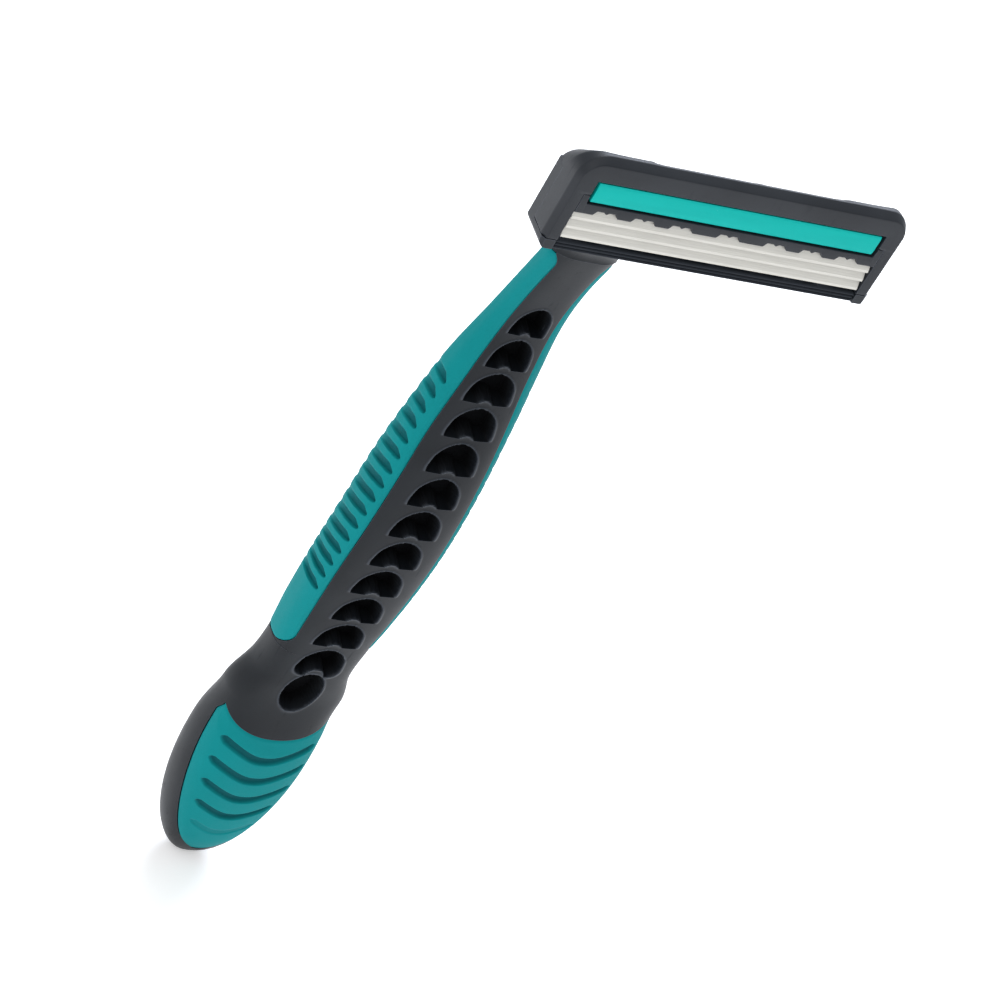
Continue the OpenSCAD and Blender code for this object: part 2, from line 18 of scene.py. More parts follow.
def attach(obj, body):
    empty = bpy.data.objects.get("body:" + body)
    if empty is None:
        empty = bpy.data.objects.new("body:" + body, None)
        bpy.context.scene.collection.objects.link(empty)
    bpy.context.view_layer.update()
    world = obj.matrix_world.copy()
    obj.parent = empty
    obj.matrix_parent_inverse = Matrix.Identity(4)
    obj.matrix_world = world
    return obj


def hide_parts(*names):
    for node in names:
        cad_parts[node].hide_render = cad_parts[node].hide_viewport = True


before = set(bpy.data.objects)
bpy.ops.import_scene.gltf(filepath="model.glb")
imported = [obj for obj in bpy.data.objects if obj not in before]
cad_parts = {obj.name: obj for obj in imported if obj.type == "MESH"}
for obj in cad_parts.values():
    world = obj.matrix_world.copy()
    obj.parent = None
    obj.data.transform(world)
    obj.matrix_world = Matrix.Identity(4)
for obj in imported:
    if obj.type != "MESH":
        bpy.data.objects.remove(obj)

LOG = logging.getLogger("razor")
METRE = 0.001
Array = np.ndarray


class Body(Enum):
    """Rigid bodies of the frame that pieces ride on."""

    HANDLE = "handle"
    HEAD = "head"
    PLUNGER = "plunger"


class Slot(Enum):
    """Finish slots of the record."""

    CHARCOAL = "charcoal_plastic"
    TEAL = "teal_rubber"
    STRIP = "strip"
    BLADE = "blade_steel"
    SPACER = "spacer_metal"
    GUARD = "guard_rubber"
    PLUNGER = "plunger_plastic"
    SPRING = "spring_steel"


class Span(Enum):
    """How a grid of points closes on itself."""

    OPEN = "open"
    TUBE = "tube"


# ---- Small maths on arrays ----


def smooth(v: Array) -> Array:
    """Eases from 0 to 1 as v goes from 0 to 1, with level ends."""
    c = np.clip(v, 0.0, 1.0)
    return c * c * (3.0 - 2.0 * c)


def mix(a: Array, b: Array, t: Array) -> Array:
    """Blends a into b by the share t."""
    return a + (b - a) * t


def signed_power(v: Array, p: Array) -> Array:
    """Power p of the size of v that keeps the sign of v."""
    return np.sign(v) * np.abs(v) ** p


def steps(*stops: tuple[float, int]) -> Array:
    """Values from stop to stop, each stretch with its own number of equal steps.

    Args:
        stops: Pairs of a value and the number of steps that lead to it, the first pair's being unused.

    Returns:
        One rising or falling array without doubled values.
    """
    runs = [np.array([stops[0][0]])]
    for (start, _), (end, count) in zip(stops, stops[1:]):
        runs.append(np.linspace(start, end, count + 1)[1:])
    return np.concatenate(runs)


# ---- Shader building ----


class Sig:
    """A socket of a shader tree whose operators add Math nodes."""

    def __init__(self, dye: "Dye", socket: bpy.types.NodeSocket) -> None:
        """Wraps one output socket of dye's tree."""
        self.dye = dye
        self.socket = socket

    def _math(self, operation: str, *values: object) -> "Sig":
        """Adds one Math node of that operation on the given values."""
        return self.dye.node("ShaderNodeMath", {"operation": operation}, dict(enumerate(values)))

    def __add__(self, other: object) -> "Sig":
        """Sum."""
        return self._math("ADD", self, other)

    __radd__ = __add__

    def __sub__(self, other: object) -> "Sig":
        """Difference."""
        return self._math("SUBTRACT", self, other)

    def __rsub__(self, other: object) -> "Sig":
        """Difference, with this socket taken from a number."""
        return self._math("SUBTRACT", other, self)

    def __mul__(self, other: object) -> "Sig":
        """Product."""
        return self._math("MULTIPLY", self, other)

    __rmul__ = __mul__

    def clamped(self) -> "Sig":
        """This socket held between 0 and 1."""
        return self.dye.node("ShaderNodeClamp", {}, {"Value": self})


class Dye:
    """One material's node tree, with the few kinds of node that the finishes share."""

    def __init__(self, name: str) -> None:
        """Makes an empty material of that name with its shader and coordinates."""
        self.material = bpy.data.materials.new(name)
        self.material.use_nodes = True
        self.tree = self.material.node_tree
        self.tree.nodes.clear()
        self.shader = self.tree.nodes.new("ShaderNodeBsdfPrincipled")
        output = self.tree.nodes.new("ShaderNodeOutputMaterial")
        self.tree.links.new(self.shader.outputs["BSDF"], output.inputs["Surface"])
        self.place = self.node("ShaderNodeTexCoord", {}, {}, "Object")

    def node(self, kind: str, settings: dict, inputs: dict, output: object = 0) -> Sig:
        """Adds a node.

        Args:
            kind: The node's type.
            settings: Its properties, which are set first.
            inputs: Values or sockets for its inputs, by name or number.
            output: The output to return, by name or number.

        Returns:
            The chosen output, wrapped.
        """
        made = self.tree.nodes.new(kind)
        for key, value in settings.items():
            setattr(made, key, value)
        for key, value in inputs.items():
            self._feed(made.inputs[key], value)
        return Sig(self, made.outputs[output])

    def _feed(self, socket: bpy.types.NodeSocket, value: object) -> None:
        """Links or sets one input socket."""
        if isinstance(value, Sig):
            self.tree.links.new(value.socket, socket)
        else:
            socket.default_value = value

    def set(self, **values: object) -> None:
        """Links or sets the shader's own sockets; underscores stand for spaces in their names."""
        for key, value in values.items():
            self._feed(self.shader.inputs[key.replace("_", " ")], value)

    def scaled(self, scale: tuple[float, float, float]) -> Sig:
        """Object coordinates stretched by a scale along each axis."""
        return self.node("ShaderNodeMapping", {}, {"Vector": self.place, "Scale": scale}, "Vector")

    def noise(self, size_mm: float, detail: float = 3.0, stretch: tuple = (1, 1, 1)) -> Sig:
        """Cloudy noise from 0 to 1 whose lumps are about size_mm across, stretched along some axes."""
        rate = 1.0 / (size_mm * METRE)
        vector = self.scaled(tuple(rate * s for s in stretch))
        inputs = {"Vector": vector, "Scale": 1.0, "Detail": detail}
        return self.node("ShaderNodeTexNoise", {}, inputs, "Fac")

    def ramp(self, factor: Sig, low: float, high: float) -> Sig:
        """Goes smoothly from 0 at low to 1 at high."""
        return self.node("ShaderNodeMapRange", {"interpolation_type": "SMOOTHSTEP"},
                         {"Value": factor, "From Min": low, "From Max": high})

    def blend(self, factor: Sig, a: object, b: object) -> Sig:
        """Mixes two colours by a factor."""
        return self.node("ShaderNodeMix", {"data_type": "RGBA"}, {0: factor, 6: a, 7: b}, 2)

    def worn_and_highlit_edges(self, radius_mm: float) -> Sig:
        """Share of edge at each point, painted pale as rubbed wear and as a highlight: how far a rounded
        normal turns away from the true one.
        """
        soft = self.node("ShaderNodeBevel", {"samples": 4}, {"Radius": radius_mm * METRE})
        true = self.node("ShaderNodeNewGeometry", {}, {}, "Normal")
        product = {"operation": "DOT_PRODUCT"}
        facing = self.node("ShaderNodeVectorMath", product, {0: soft, 1: true}, "Value")
        return self.ramp(1.0 - facing, 0.01, 0.2)

    def attribute(self, name: str) -> Sig:
        """A piece's own number at each point, by name."""
        return self.node("ShaderNodeAttribute", {"attribute_name": name}, {}, "Fac")

    def bump(self, height: Sig, depth_mm: float) -> None:
        """Feeds the shader's normal from a height of 0 to 1 that stands depth_mm tall."""
        inputs = {"Height": height, "Distance": depth_mm * METRE, "Strength": 1.0}
        self.set(Normal=self.node("ShaderNodeBump", {}, inputs, "Normal"))


def srgb(red: int, green: int, blue: int) -> tuple[float, float, float, float]:
    """Linear colour of an 8-bit screen colour."""
    part = [c / 255 for c in (red, green, blue)]
    linear = [c / 12.92 if c <= 0.04045 else ((c + 0.055) / 1.055) ** 2.4 for c in part]
    return (*linear, 1.0)


@dataclass(frozen=True)
class Moulded:
    """Fine-grained moulded plastic with painted shade inside its hollows, a painted highlight on the
    lips round them, and pale edges that are partly rubbed wear and partly painted highlight.
    """

    name: str
    face: tuple
    cloud: tuple
    # Pale colour of rubbed edges, also used as a painted highlight along edges and on the lips round
    # hollows.
    edge: tuple
    # Near-black colour of the painted shade inside hollows.
    deep: tuple = srgb(3, 4, 7)
    grain_mm: float = 0.16
    grain_depth_mm: float = 0.006
    roughness: float = 0.42
    shine: float = 0.5

    def make(self) -> bpy.types.Material:
        """Builds the material."""
        dye = Dye(self.name)
        drift = dye.noise(9.0, 2.0)
        grain = dye.noise(self.grain_mm, 2.0)
        scuff = dye.ramp(dye.noise(0.7, 4.0, (1, 1, 0.15)), 0.62, 0.74)
        colour = dye.blend(dye.ramp(drift, 0.35, 0.65), self.face, self.cloud)
        # Pale edges: rubbed wear and a painted highlight along every edge.
        colour = dye.blend(dye.worn_and_highlit_edges(0.18) * 0.5, colour, self.edge)
        hollow = dye.attribute("hollow")
        # Painted highlight: where the share is negative, on the lips round hollows, the colour turns
        # pale.
        colour = dye.blend((hollow * -1.6).clamped(), colour, self.edge)
        # Painted shade: inside hollows the colour turns near black.
        colour = dye.blend(hollow.clamped(), colour, self.deep)
        dye.set(Base_Color=colour, Specular_IOR_Level=self.shine)
        rough = self.roughness + 0.1 * (grain - 0.5) + 0.12 * scuff + 0.06 * drift
        dye.set(Roughness=rough + 0.5 * hollow.clamped())
        dye.bump(grain, self.grain_depth_mm)
        return dye.material


@dataclass(frozen=True)
class Rubber:
    """Matt soft rubber with painted shade in its grooves and a fine pebbled skin."""

    name: str
    face: tuple
    # Darker colour used as painted shade in the grooves, and faintly in the pebbled mottle.
    groove: tuple
    worn: tuple
    roughness: float = 0.62
    shine: float = 0.1

    def make(self) -> bpy.types.Material:
        """Builds the material."""
        dye = Dye(self.name)
        drift = dye.noise(12.0, 2.0)
        pebble = dye.noise(0.22, 3.0)
        colour = dye.blend(dye.ramp(drift, 0.3, 0.75) * 0.35, self.face, self.worn)
        colour = dye.blend(dye.ramp(pebble, 0.45, 0.8) * 0.08, colour, self.groove)
        # Painted shade: the hollow share darkens the grooves toward the groove colour.
        colour = dye.blend(dye.attribute("hollow"), colour, self.groove)
        dye.set(Base_Color=colour, Specular_IOR_Level=self.shine)
        dye.set(Roughness=self.roughness + 0.12 * (pebble - 0.5) + 0.06 * drift)
        dye.bump(pebble, 0.008)
        return dye.material


@dataclass(frozen=True)
class Gel:
    """Smooth lubricating gel, slightly waxy, with a faint flow along its length."""

    name: str
    face: tuple
    flow: tuple

    def make(self) -> bpy.types.Material:
        """Builds the material."""
        dye = Dye(self.name)
        streak = dye.noise(1.2, 3.0, (0.12, 1, 1))
        speck = dye.ramp(dye.noise(0.35, 2.0), 0.7, 0.8)
        colour = dye.blend(dye.ramp(streak, 0.35, 0.7) * 0.4, self.face, self.flow)
        colour = dye.blend(speck * 0.25, colour, srgb(120, 235, 225))
        dye.set(Base_Color=colour, Roughness=0.45 + 0.15 * streak, Specular_IOR_Level=0.12)
        dye.bump(streak, 0.006)
        return dye.material


@dataclass(frozen=True)
class Steel:
    """Ground or drawn steel whose fine lines run along one axis."""

    name: str
    face: tuple
    line: tuple
    roughness: float = 0.3
    metallic: float = 0.75
    lines: tuple = (0.02, 1, 1)

    def make(self) -> bpy.types.Material:
        """Builds the material."""
        dye = Dye(self.name)
        grind = dye.noise(0.09, 2.0, self.lines)
        stain = dye.noise(5.0, 3.0)
        colour = dye.blend(dye.ramp(grind, 0.3, 0.7) * 0.35, self.face, self.line)
        colour = dye.blend(dye.ramp(stain, 0.5, 0.8) * 0.2, colour, self.line)
        dye.set(Base_Color=colour, Metallic=self.metallic)
        dye.set(Roughness=self.roughness + 0.16 * (grind - 0.5) + 0.08 * stain)
        dye.bump(grind, 0.002)
        return dye.material


class Finishes:
    """The razor's materials, one for each slot of the record."""

    def __init__(self) -> None:
        """Makes every finish once."""
        made = {
            Slot.CHARCOAL: Moulded(
                "charcoal", srgb(36, 40, 46), srgb(30, 34, 40), srgb(88, 94, 106), shine=0.3),
            Slot.TEAL: Rubber("teal", srgb(0, 128, 131), srgb(0, 72, 78), srgb(0, 138, 142)),
            Slot.STRIP: Gel("gel", srgb(0, 182, 173), srgb(0, 170, 162)),
            Slot.BLADE: Steel("blade", srgb(226, 224, 216), srgb(192, 190, 183), 0.34, 0.35),
            Slot.SPACER: Steel("spacer", srgb(172, 174, 182), srgb(130, 132, 142)),
            Slot.GUARD: Rubber("guard", srgb(48, 52, 58), srgb(18, 20, 24), srgb(58, 62, 69)),
            Slot.PLUNGER: Moulded(
                "plunger", srgb(206, 208, 212), srgb(196, 198, 204), srgb(232, 233, 236)),
            Slot.SPRING: Steel(
                "spring", srgb(188, 188, 192), srgb(120, 120, 126), 0.28, 1.0, (1, 1, 0.1)),
        }
        self.materials = {slot: finish.make() for slot, finish in made.items()}
        # A darker copy of the charcoal plastic, with darker edges, that paints shade on the handle and
        # yoke.
        handle = Moulded(
            "shaded_charcoal", srgb(24, 28, 33), srgb(18, 22, 27), srgb(70, 76, 85), shine=0.2)
        self.shaded_charcoal = handle.make()

    def dress(self, piece: bpy.types.Object, slot: Slot) -> None:
        """Gives every material slot of a piece one finish."""
        piece.data.materials.clear()
        piece.data.materials.append(self.materials[slot])

    def shade_darker(self, piece: bpy.types.Object) -> None:
        """Gives a charcoal piece a darker copy of the charcoal plastic, with darker edges, as painted
        shade on the handle.
        """
        piece.data.materials.clear()
        piece.data.materials.append(self.shaded_charcoal)

    def place(self, piece: bpy.types.Object, body: Body, slot: Slot, *nodes: str) -> None:
        """Dresses a piece, lets it ride on a body and hides the nodes that it stands for.

        Args:
            piece: The piece.
            body: The body that it rides on.
            slot: The slot that its finish fills.
            nodes: The nodes of the frame that it replaces.
        """
        self.dress(piece, slot)
        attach(piece, body.value)
        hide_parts(*nodes)
        LOG.info("built %s", piece.name)


# ---- Mesh building ----


@dataclass
class Surface:
    """Points and quads gathered from one or more grids, which become one mesh."""

    points: list[Array] = field(default_factory=list)
    faces: list[Array] = field(default_factory=list)
    hollow: list[Array] = field(default_factory=list)
    count: int = 0

    def add(self, grid: Array, span: Span = Span.OPEN, hollow: Array | None = None) -> "Surface":
        """Adds a grid of points as quads between neighbouring rows and columns.

        Args:
            grid: Rows x columns x 3 points in millimetres, outward when rows rise and columns run
                anticlockwise seen from the last row.
            span: Whether the last column joins the first; a tube's two ends are closed by fans.
            hollow: Rows x columns share by which each point lies in a hollow; the finishes paint it as
                shade.

        Returns:
            This surface, so that calls chain.
        """
        rows, cols = grid.shape[:2]
        number = self.count + np.arange(rows * cols).reshape(rows, cols)
        share = np.zeros((rows, cols)) if hollow is None else hollow
        self.points.append(grid.reshape(-1, 3))
        self.hollow.append(share.reshape(-1))
        self.count += rows * cols
        if span is Span.TUBE:
            number = np.hstack([number, number[:, :1]])
            self._fan(grid[0], number[0][::-1], share[0].mean())
            self._fan(grid[-1], number[-1], share[-1].mean())
        corners = (number[:-1, :-1], number[:-1, 1:], number[1:, 1:], number[1:, :-1])
        self.faces.append(np.stack(corners, -1).reshape(-1, 4))
        return self

    def _fan(self, ring: Array, numbers: Array, share: float) -> None:
        """Closes a ring with triangles to the middle of its points."""
        self.points.append(ring.mean(0)[None])
        self.hollow.append(np.array([share]))
        hub = np.full(len(numbers) - 1, self.count)
        self.count += 1
        self.faces.append(np.stack([numbers[:-1], numbers[1:], hub], -1))

    def shell(self, outer: Array, inner: Array, hollow: Array) -> "Surface":
        """Adds a closed skin: an outer grid, its inner copy turned round, and strips along the edges.

        Args:
            outer: Rows x columns x 3 points of the outside.
            inner: The same grid, sunk into the body.
            hollow: Share of hollow at each outer point, painted as shade by the finishes.

        Returns:
            This surface.
        """
        rim = [(outer[0][::-1], inner[0][::-1]), (outer[-1], inner[-1])]
        rim += [(outer[:, 0], inner[:, 0]), (outer[:, -1][::-1], inner[:, -1][::-1])]
        self.add(outer, hollow=hollow)
        self.add(inner[:, ::-1])
        for top, low in rim:
            self.add(np.stack([top, low]))
        return self

    def make(self, name: str, crease_deg: float = 32.0) -> bpy.types.Object:
        """Makes the object in metres, with near points merged and edges sharp above an angle.

        Args:
            name: The piece's name.
            crease_deg: Angle between two faces above which their shared edge looks sharp.

        Returns:
            The new object, linked to the scene.
        """
        mesh = bpy.data.meshes.new(name)
        faces = [f for block in self.faces for f in block.tolist()]
        mesh.from_pydata((np.concatenate(self.points) * METRE).tolist(), [], faces)
        # Stored as a mesh attribute that the finishes paint as shade, and as a highlight where negative.
        layer = mesh.attributes.new("hollow", "FLOAT", "POINT")
        layer.data.foreach_set("value", np.concatenate(self.hollow).astype(np.float32))
        weld(mesh)
        mesh.shade_smooth()
        mesh.set_sharp_from_angle(angle=math.radians(crease_deg))
        mesh.validate()
        made = bpy.data.objects.new(name, mesh)
        bpy.context.scene.collection.objects.link(made)
        return made


def weld(mesh: bpy.types.Mesh, reach_mm: float = 0.0005) -> None:
    """Merges points that coincide, so that strips and grids share their edges."""
    work = bmesh.new()
    work.from_mesh(mesh)
    bmesh.ops.remove_doubles(work, verts=work.verts, dist=reach_mm * METRE)
    bmesh.ops.dissolve_degenerate(work, edges=work.edges, dist=reach_mm * METRE * 0.1)
    bmesh.ops.recalc_face_normals(work, faces=work.faces)
    work.to_mesh(mesh)
    work.free()


def mirrored(grid: Array) -> Array:
    """A grid reflected across the razor's middle plane, with its columns turned to keep it outward."""
    return (grid * np.array([-1.0, 1.0, 1.0]))[:, ::-1]


def rounded(rails: Array, radii: Array, count: int = 4) -> Array:
    """Rounds every corner of a closed section that is carried along a path.

    Each corner gives way to a curve between a point short of it on the edge before and one on the edge
    after: (1-t)^2 A + 2t(1-t) corner + t^2 B.

    Args:
        rails: Stations x corners x 3 points.
        radii: Length by which each corner is cut back along both its edges, at most 0.45 of an edge.
        count: Number of steps round a corner.

    Returns:
        Stations x (corners * (count + 1)) x 3 points.
    """
    before, after = np.roll(rails, 1, axis=1) - rails, np.roll(rails, -1, axis=1) - rails
    reach = np.asarray(radii)[None, :, None]

    def cut(edge: Array) -> Array:
        """Point at the corner's reach along one edge."""
        length = np.maximum(np.linalg.norm(edge, axis=2, keepdims=True), 1e-6)
        return rails + edge * np.minimum(reach / length, 0.45)

    t = np.linspace(0.0, 1.0, count + 1)[None, None, :, None]
    curve = ((1 - t) ** 2 * cut(before)[:, :, None] + 2 * t * (1 - t) * rails[:, :, None]
             + t * t * cut(after)[:, :, None])
    return curve.reshape(len(rails), -1, 3)


def soft_ends(grid: Array, radius: float, count: int = 4) -> Array:
    """Rounds the two ends of a tube: its last rings shrink as a quarter circle while they move on.

    Args:
        grid: Stations x columns x 3 points of the tube.
        radius: Radius of the rounding, by which the rings shrink at both ends.
        count: Number of added rings at each end.

    Returns:
        The grid with the added rings, its overall length unchanged.
    """
    turn = np.linspace(0.0, math.pi / 2, count + 1)[1:, None, None]

    def close(ring: Array, inward: Array) -> Array:
        """Rings that close one end, from the full one outward; inward points back along the tube."""
        spoke = ring - ring.mean(0)
        size = np.maximum(np.linalg.norm(spoke, axis=1, keepdims=True), 1e-6)
        share = np.minimum(radius / size, 0.5)[None]
        start = (ring + inward * radius)[None]
        return start - spoke * share * (1 - np.cos(turn)) - inward * radius * np.sin(turn)

    first = grid[1].mean(0) - grid[0].mean(0)
    last = grid[-2].mean(0) - grid[-1].mean(0)
    first, last = first / np.linalg.norm(first), last / np.linalg.norm(last)
    body = grid.copy()
    body[0], body[-1] = grid[0] + first * radius, grid[-1] + last * radius
    return np.concatenate([close(grid[0], first)[::-1], body, close(grid[-1], last)])


# ---- Handle ----


@dataclass(frozen=True)
class HandleForm:
    """Skin of the handle: a bulb at the foot that turns into a slender, rounded-square shaft.

    The shaft's front, back and half width at each station are joined by cubic curves whose slope at a
    station is that of the line between its neighbours.
    """

    stations: tuple = (
        (34, 6.9, 14.8, 8.8), (40, 6.4, 14.7, 7.0), (46, 5.7, 13.9, 6.8), (52, 4.9, 13.4, 7.2),
        (60, 4.0, 12.8, 7.6), (70, 3.2, 12.2, 7.7), (80, 3.2, 11.8, 7.6), (90, 4.0, 10.7, 7.0),
        (98, 4.4, 9.8, 6.1), (106, 4.2, 8.3, 5.0), (113, 2.9, 6.8, 4.5), (122, 0.2, 4.4, 4.5))
    bulb_half_w: float = 8.9
    bulb_half_d: float = 6.05
    bulb_z: float = 22.1
    bulb_y: float = 12.1
    bulb_half_h: float = 22.2
    collar_z: float = 119.6
    shaft_power: float = 0.68
    bulb_front_power: float = 0.8
    front_narrowing: float = 0.1

    def along(self, z: Array, column: int) -> Array:
        """Column of the stations at height z: a cubic curve through them."""
        table = np.array(self.stations, float)
        slopes = np.gradient(table[:, column]) / np.gradient(table[:, 0])
        slopes[0] = 0.0
        zc = np.clip(z, table[0, 0], table[-1, 0])
        i = np.clip(np.searchsorted(table[:, 0], zc, side="right") - 1, 0, len(table) - 2)
        h = table[i + 1, 0] - table[i, 0]
        t = (zc - table[i, 0]) / h
        low, high = table[i, column], table[i + 1, column]
        return (low * (1 + 2 * t) * (1 - t) ** 2 + high * t * t * (3 - 2 * t)
                + h * (slopes[i] * t * (1 - t) ** 2 - slopes[i + 1] * t * t * (1 - t)))

    def sizes(self, z: Array) -> tuple[Array, Array, Array]:
        """Front, back and half width at height z: the bulb's ellipse mixed into the shaft's curves."""
        bulb = np.sqrt(np.maximum(0.0, 1 - ((z - self.bulb_z) / self.bulb_half_h) ** 2))
        shaft = self.shaft_share(z)
        front = mix(self.bulb_y - self.bulb_half_d * bulb, self.along(z, 1), shaft)
        back = mix(self.bulb_y + self.bulb_half_d * bulb, self.along(z, 2), shaft)
        return front, back, mix(self.bulb_half_w * bulb, self.along(z, 3), shaft)

    def shaft_share(self, z: Array) -> Array:
        """Share of the shaft's own section at height z."""
        return smooth((z - 25.0) / 14.0)

    def skin(self, z: Array, angle: Array, out: Array = 0.0) -> Array:
        """Point of the skin at height z and an angle in degrees from the front, moved out from the axis.

        The section is a superellipse: x goes as a power of sin and y as the same power of cos. The power
        is 0.68 in the shaft; in the bulb it is 1 at the back, which is an ellipse, and 0.8 at the front.
        """
        z, angle, out = np.broadcast_arrays(z, angle, out)
        front, back, half = self.sizes(z)
        turn = np.radians(angle)
        facing = (1 + np.cos(turn)) / 2
        back_power = mix(1.0, self.shaft_power, smooth((z - 38.0) / 14.0))
        front_power = mix(self.bulb_front_power, self.shaft_power, smooth((z - 22.0) / 14.0))
        power = mix(back_power, front_power, smooth(facing))
        narrow = 1 - self.front_narrowing * smooth((z - 62.0) / 24.0) * facing
        x = half * signed_power(np.sin(turn), power) * narrow
        y = -(back - front) / 2 * signed_power(np.cos(turn), power)
        grow = 1 + out / np.maximum(0.001, np.hypot(x, y))
        return np.stack([x * grow, (front + back) / 2 + y * grow, z], -1)


@dataclass(frozen=True)
class GripForm:
    """Outline and ribs of the side grip on the +X side."""

    skin: HandleForm
    bottom: float = 45.3
    top: float = 119.3
    rib_first: float = 94.65
    rib_last: float = 57.9
    rib_pitch: float = 2.45
    rib_depth: float = 0.5
    rib_half: float = 0.85
    rib_lean: float = 0.24
    rib_curl: float = 0.7
    front_deg: float = 45.5
    back_deg: float = 138.0
    tip_deg: tuple = (104.0, 110.0)
    thickness: float = 1.2

    def share(self, z: Array) -> Array:
        """Width share at height z: quarter ellipses at both ends, 1 between them."""
        low = 1 - np.clip((z - self.bottom) / 3.2, 0, 1)
        high = 1 - np.clip((self.top - z) / 2.0, 0, 1)
        return np.maximum(0.1, np.sqrt(1 - low**2) * np.sqrt(1 - 0.6 * high**2))

    def edge(self, z: Array, t: Array) -> Array:
        """Angle from the front at share t of the way across the grip at height z."""
        share = self.share(z)
        front = self.front_deg - 7.0 * smooth((z - 84.0) / 14.0) + 4.0 * smooth((z - 100.0) / 19.0)
        return mix(mix(self.tip_deg[0], front, share), mix(self.tip_deg[1], self.back_deg, share), t)

    def point(self, z: Array, t: Array, out: Array) -> Array:
        """Point of the grip on the row that meets its front edge at height z, at share t across.

        Rows fall toward the back, so that ribs cut along them lean.
        """
        ribbed = smooth((z - self.rib_last) / 10.0) * smooth((self.rib_first + 2.0 - z) / 14.0)
        depth = self.skin.skin(z, self.edge(z, t))[..., 1]
        front = self.skin.skin(z, self.edge(z, 0 * t))[..., 1]
        drop = self.rib_lean * ribbed * (depth - front)
        return self.skin.skin(z - drop, self.edge(z, t), out)

    def rib(self, z: Array, t: Array) -> Array:
        """Share of the way down a groove: a saw-tooth wave along z, deep at once at its lower side.

        A groove starts as a rounded end a little way from the front edge, further at the top ones, and
        bends there. It grows shallow toward the back.
        """
        start = 0.09 + 0.13 * smooth((z - 76.0) / 18.0)
        curl = self.rib_curl * (1 - smooth((t - start) / 0.3)) ** 2
        phase = (z + curl - self.rib_last - 0.7) / self.rib_pitch
        number = np.round(phase)
        last = round((self.rib_first - self.rib_last) / self.rib_pitch)
        zone = (number >= 0) & (number <= last)
        across = (phase - number) * self.rib_pitch
        width = self.rib_half * np.sqrt(np.clip((t - start) / 0.16, 0, 1))
        low = smooth((across + width) / 0.22)
        high = smooth((0.9 * width - across) / 0.75)
        shallow = 1 - 0.78 * smooth((t - 0.42) / 0.3)
        return zone * low * high * smooth((t - start) / 0.05) * shallow


@dataclass(frozen=True)
class PadForm:
    """Outline and smile-shaped grooves of the end pad on the bulb's front."""

    skin: HandleForm
    edge: float = 76.0
    grooves_top: float = 24.7
    groove_pitch: float = 4.0
    groove_depth: float = 0.55
    groove_half: float = 0.8
    groove_reach_deg: float = 47.0
    bottom_z: float = 2.6
    top_z: float = 28.5
    foot_deg: float = 24.0
    thickness: float = 1.2

    def height(self, t: Array, side: Array) -> Array:
        """Height at share t of the way up, and share side of the way to its edge, from -1 to 1.

        The bottom is round, and the top dips between two horns.
        """
        return mix(self.bottom_z + 2.6 * side**2, self.top_z + 3.4 * np.abs(side) ** 1.5, t)

    def side_angle(self, t: Array) -> Array:
        """Angle of the side edge at share t of the way up: it widens fast and rounds off at the horn."""
        return mix(self.foot_deg, self.edge, np.clip(t, 0, 1) ** 0.4) - 9.0 * smooth((t - 0.92) / 0.08)

    def groove(self, z: Array, angle: Array) -> Array:
        """Share of the way down a groove: bands along z that bend up to both sides and end rounded.

        The lowest one is only a faint dent.
        """
        q = (np.sqrt(angle**2 + 64.0) - 8.0) / 52.0
        wave = (z - 2.6 * (2 * q - q * q) - self.grooves_top) / self.groove_pitch
        number = np.round(wave)
        across = (wave - number) * self.groove_pitch
        reach = self.groove_reach_deg + 5.0 * np.minimum(number + 1, 0)
        zone = (number <= 0) * (number >= -3) + 0.25 * (number == -4)
        half = self.groove_half * np.sqrt(np.clip((reach - np.abs(angle)) / 7.0, 0, 1))
        low, high = smooth((across + half) / 0.4), smooth((half - across) / 0.5)
        return zone * low * high


@dataclass(frozen=True)
class HollowForm:
    """Arched hollows down the handle's front over one oval."""

    skin: HandleForm
    count: int = 12
    first: float = 107.4
    pitch: float = 5.65
    depth: float = 2.9
    oval_z: float = 37.9
    oval_half: tuple = (2.65, 3.9)
    body_half: tuple = (2.55, 3.15)
    widest: float = 2.85
    saddle_half_h: float = 1.6
    wall: float = 0.35

    def inside(self, x: Array, z: Array) -> Array:
        """Distance inside the nearest hollow in millimetres, negative outside.

        A hollow is a rounded square whose lower side gives way to the round saddle that rises from the
        next bridge.
        """
        i = np.clip(np.round((self.first - z) / self.pitch), 0, self.count - 1)
        middle = self.first - i * self.pitch - 0.6
        half = np.minimum(0.43 * self.skin.sizes(middle)[2], self.widest)
        upper, lower = self.body_half
        dz = np.where(z > middle, (z - middle) / upper, (z - middle) / lower)
        dx = x / (half * (1 + 0.07 * (middle + 0.5 - z)))
        power = np.where(dz > 0, 2.0, 3.4)
        body = (1 - (np.abs(dx) ** power + np.abs(dz) ** power) ** (1 / power)) * 2.5
        saddle = np.hypot(x / (0.5 * half), (z - middle + 3.2) / self.saddle_half_h) - 1
        arch = np.minimum(body, saddle * 1.35)
        oval_w, oval_h = self.oval_half
        oval = (1 - np.hypot(x / oval_w, (z - self.oval_z) / oval_h)) * 2.6
        return np.maximum(arch, oval)

    def profile(self, x: Array, z: Array) -> tuple[Array, Array]:
        """Depth below the skin, with a thin raised lip round each hollow, and the share of hollow that
        the finish paints as shade.

        The lip is a bell curve of the distance, and its share is negative, which the finish paints pale
        as a highlight on the lip.
        """
        inside = self.inside(x, z)
        sunk = smooth((inside + 0.06) / self.wall)
        lip = np.exp(-(((inside + 0.16) / 0.13) ** 2))
        # Share of painted shade inside each hollow, and a negative share on the lip for a painted
        # highlight.
        share = smooth((inside - 0.02) / 0.12) - 0.35 * lip * (inside < 0.05)
        return self.depth * sunk - 0.1 * lip, share


